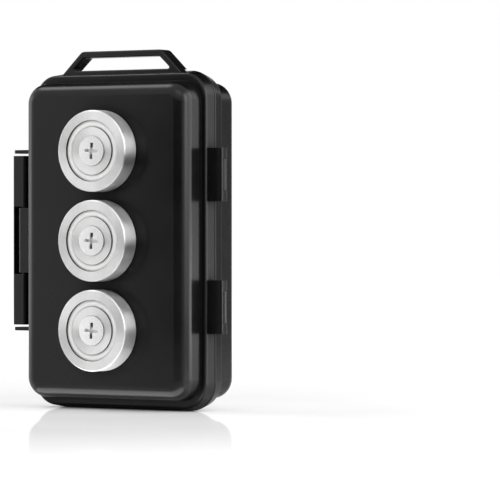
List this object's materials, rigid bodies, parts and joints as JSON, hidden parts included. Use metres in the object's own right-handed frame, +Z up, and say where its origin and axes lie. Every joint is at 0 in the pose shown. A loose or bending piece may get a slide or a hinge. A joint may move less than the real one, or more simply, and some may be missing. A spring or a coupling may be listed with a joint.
{
  "type": "magnetic key box",
  "caption": "Upright rounded black plastic key case that hangs from steel by round pot magnets on its front panel, with a hinged tub, a side latch and a carrying loop on top.",
  "frame": {"origin": "middle of the middle magnet's contact face, on the plane where all three magnets touch a steel surface", "axes": "-Y out of the magnets towards the steel, +X across the case towards the hinge, +Z up the length of the case to the carrying loop"},
  "size_m": [0.1005, 0.0459, 0.1421],
  "materials": {
    "case_plastic": "moulded ABS, satin",
    "nickelled_steel": "nickel-plated, fine brushed",
    "nickelled_magnet": "nickel-plated neodymium",
    "white_fill": "cast white resin",
    "screw_steel": "zinc-plated, bright",
    "pin_steel": "black-oxide steel wire",
    "black_rubber": "EPDM",
    "seal_silicone": "grey silicone",
    "liner_foam": "closed-cell foam"
  },
  "bodies": {
    "magnet_half": {"magnet_side_shell": "case_plastic", "case_seal": "seal_silicone", "bed_liner": "liner_foam", "latch_pin": "pin_steel", "hinge_pin_upper": "pin_steel", "hinge_pin_lower": "pin_steel", "magnet_cup_upper": "nickelled_steel", "magnet_ring_upper": "nickelled_magnet", "magnet_fill_upper": "white_fill", "magnet_screw_upper": "screw_steel", "seal_washer_upper": "black_rubber", "flat_washer_upper": "screw_steel", "magnet_nut_upper": "screw_steel", "magnet_cup_middle": "nickelled_steel", "magnet_ring_middle": "nickelled_magnet", "magnet_fill_middle": "white_fill", "magnet_screw_middle": "screw_steel", "seal_washer_middle": "black_rubber", "flat_washer_middle": "screw_steel", "magnet_nut_middle": "screw_steel", "magnet_cup_lower": "nickelled_steel", "magnet_ring_lower": "nickelled_magnet", "magnet_fill_lower": "white_fill", "magnet_screw_lower": "screw_steel", "seal_washer_lower": "black_rubber", "flat_washer_lower": "screw_steel", "magnet_nut_lower": "screw_steel"},
    "tub_half": {"key_tub": "case_plastic", "tub_liner": "liner_foam"},
    "latch": {"latch_lever": "case_plastic"}
  },
  "joints": [
    {"name": "tub_hinge", "type": "hinge", "parent": "magnet_half", "child": "tub_half", "pos_m": [0.04595, 0.0234, 0], "axis": [0, 0, -1], "range_deg": [0, 160]},
    {"name": "latch_hinge", "type": "hinge", "parent": "magnet_half", "child": "latch", "pos_m": [-0.04715, 0.0205, 0], "axis": [0, 0, 1], "range_deg": [0, 110]}
  ]
}
